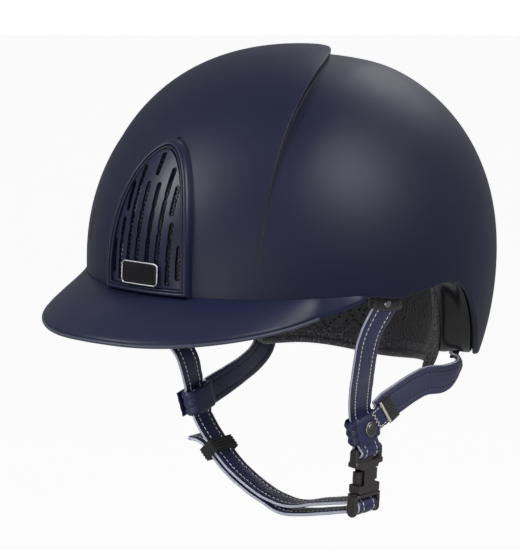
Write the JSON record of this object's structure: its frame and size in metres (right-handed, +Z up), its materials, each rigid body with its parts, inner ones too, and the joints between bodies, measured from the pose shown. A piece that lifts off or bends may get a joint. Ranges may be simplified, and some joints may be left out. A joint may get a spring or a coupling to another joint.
{
  "type": "equestrian riding helmet",
  "caption": "Riding helmet with a fixed peak, a slotted front vent, padded lining and a leather harness with a side-release buckle.",
  "frame": {"origin": "centre of the head opening, level with the front rim", "axes": "+Z up through the crown, the peak points along -Y, +X is the wearer's left, where the buckle is"},
  "size_m": [0.2178, 0.3046, 0.2682],
  "materials": {
    "shell_navy": "matte soft-touch",
    "peak_navy": "satin",
    "vent_navy": "semi-gloss",
    "wire_mesh": "black oxide",
    "badge_black": "gloss",
    "badge_silver": "satin",
    "dark_steel": "dark nickel",
    "impact_foam": "beaded foam",
    "gloss_black": "gloss",
    "padding": "heather knit",
    "black_cloth": "woven",
    "navy_leather": "grained, stitched",
    "rubber_black": "matte",
    "buckle_black": "fine texture"
  },
  "bodies": {
    "helmet": {"outer_shell": "shell_navy", "peak": "peak_navy", "peak_lining": "black_cloth", "peak_edge_bead": "peak_navy", "vent_frame": "vent_navy", "vent_grille": "vent_navy", "vent_mesh": "wire_mesh", "badge_plate": "badge_black", "badge_rim": "badge_silver", "vent_screws": "dark_steel", "impact_liner": "impact_foam", "rim_frame": "gloss_black", "head_band": "padding", "nape_pad": "padding", "crown_pad": "padding", "nape_piping": "padding", "hook_and_loop_patches": "black_cloth", "front_strap_left": "navy_leather", "front_strap_right": "navy_leather", "rear_strap_left": "navy_leather", "rear_strap_right": "navy_leather", "front_anchor_left": "black_cloth", "front_anchor_right": "black_cloth", "rear_anchor_left": "black_cloth", "rear_anchor_right": "black_cloth", "anchor_rivets": "dark_steel", "strap_loop_left": "navy_leather", "strap_loop_right": "navy_leather", "stud_post_left": "dark_steel", "stud_post_right": "dark_steel", "blank_label": "black_cloth", "chin_strap": "navy_leather", "chin_strap_return": "navy_leather", "buckle_body": "buckle_black"},
    "tongue": {"buckle_tongue": "buckle_black"},
    "prong_front": {"buckle_prong_front": "buckle_black"},
    "prong_rear": {"buckle_prong_rear": "buckle_black"},
    "keeper": {"strap_keeper": "rubber_black"},
    "flap_left": {"loop_flap_left": "navy_leather", "stud_cap_left": "dark_steel"},
    "flap_right": {"loop_flap_right": "navy_leather", "stud_cap_right": "dark_steel"}
  },
  "joints": [
    {"name": "buckle_release", "type": "slide", "parent": "helmet", "child": "tongue", "axis": [-0.061, 0, -0.9981], "range_m": [0, 0.025], "deforming": ["chin_strap", "chin_strap_return"]},
    {"name": "prong_front_squeeze", "type": "hinge", "parent": "tongue", "child": "prong_front", "pos_m": [0.06053, -0.0182, -0.12245], "axis": [-0.9981, 0, 0.061], "range_deg": [0, 4], "stiffness_Nm_per_rad": 0.05},
    {"name": "prong_rear_squeeze", "type": "hinge", "parent": "tongue", "child": "prong_rear", "pos_m": [0.06053, -0.0064, -0.12245], "axis": [0.9981, 0, -0.061], "range_deg": [0, 4], "stiffness_Nm_per_rad": 0.05},
    {"name": "keeper_slide", "type": "slide", "parent": "helmet", "child": "keeper", "axis": [0.711, 0, -0.7032], "range_m": [0, 0.008]},
    {"name": "flap_left_open", "type": "hinge", "parent": "helmet", "child": "flap_left", "pos_m": [0.06685, -0.02492, -0.08684], "axis": [0.1165, 0.2003, -0.9728], "range_deg": [0, 75], "stiffness_Nm_per_rad": 0.003},
    {"name": "flap_right_open", "type": "hinge", "parent": "helmet", "child": "flap_right", "pos_m": [-0.06545, -0.02385, -0.08826], "axis": [-0.1617, -0.1824, 0.9698], "range_deg": [0, 75], "stiffness_Nm_per_rad": 0.003}
  ]
}
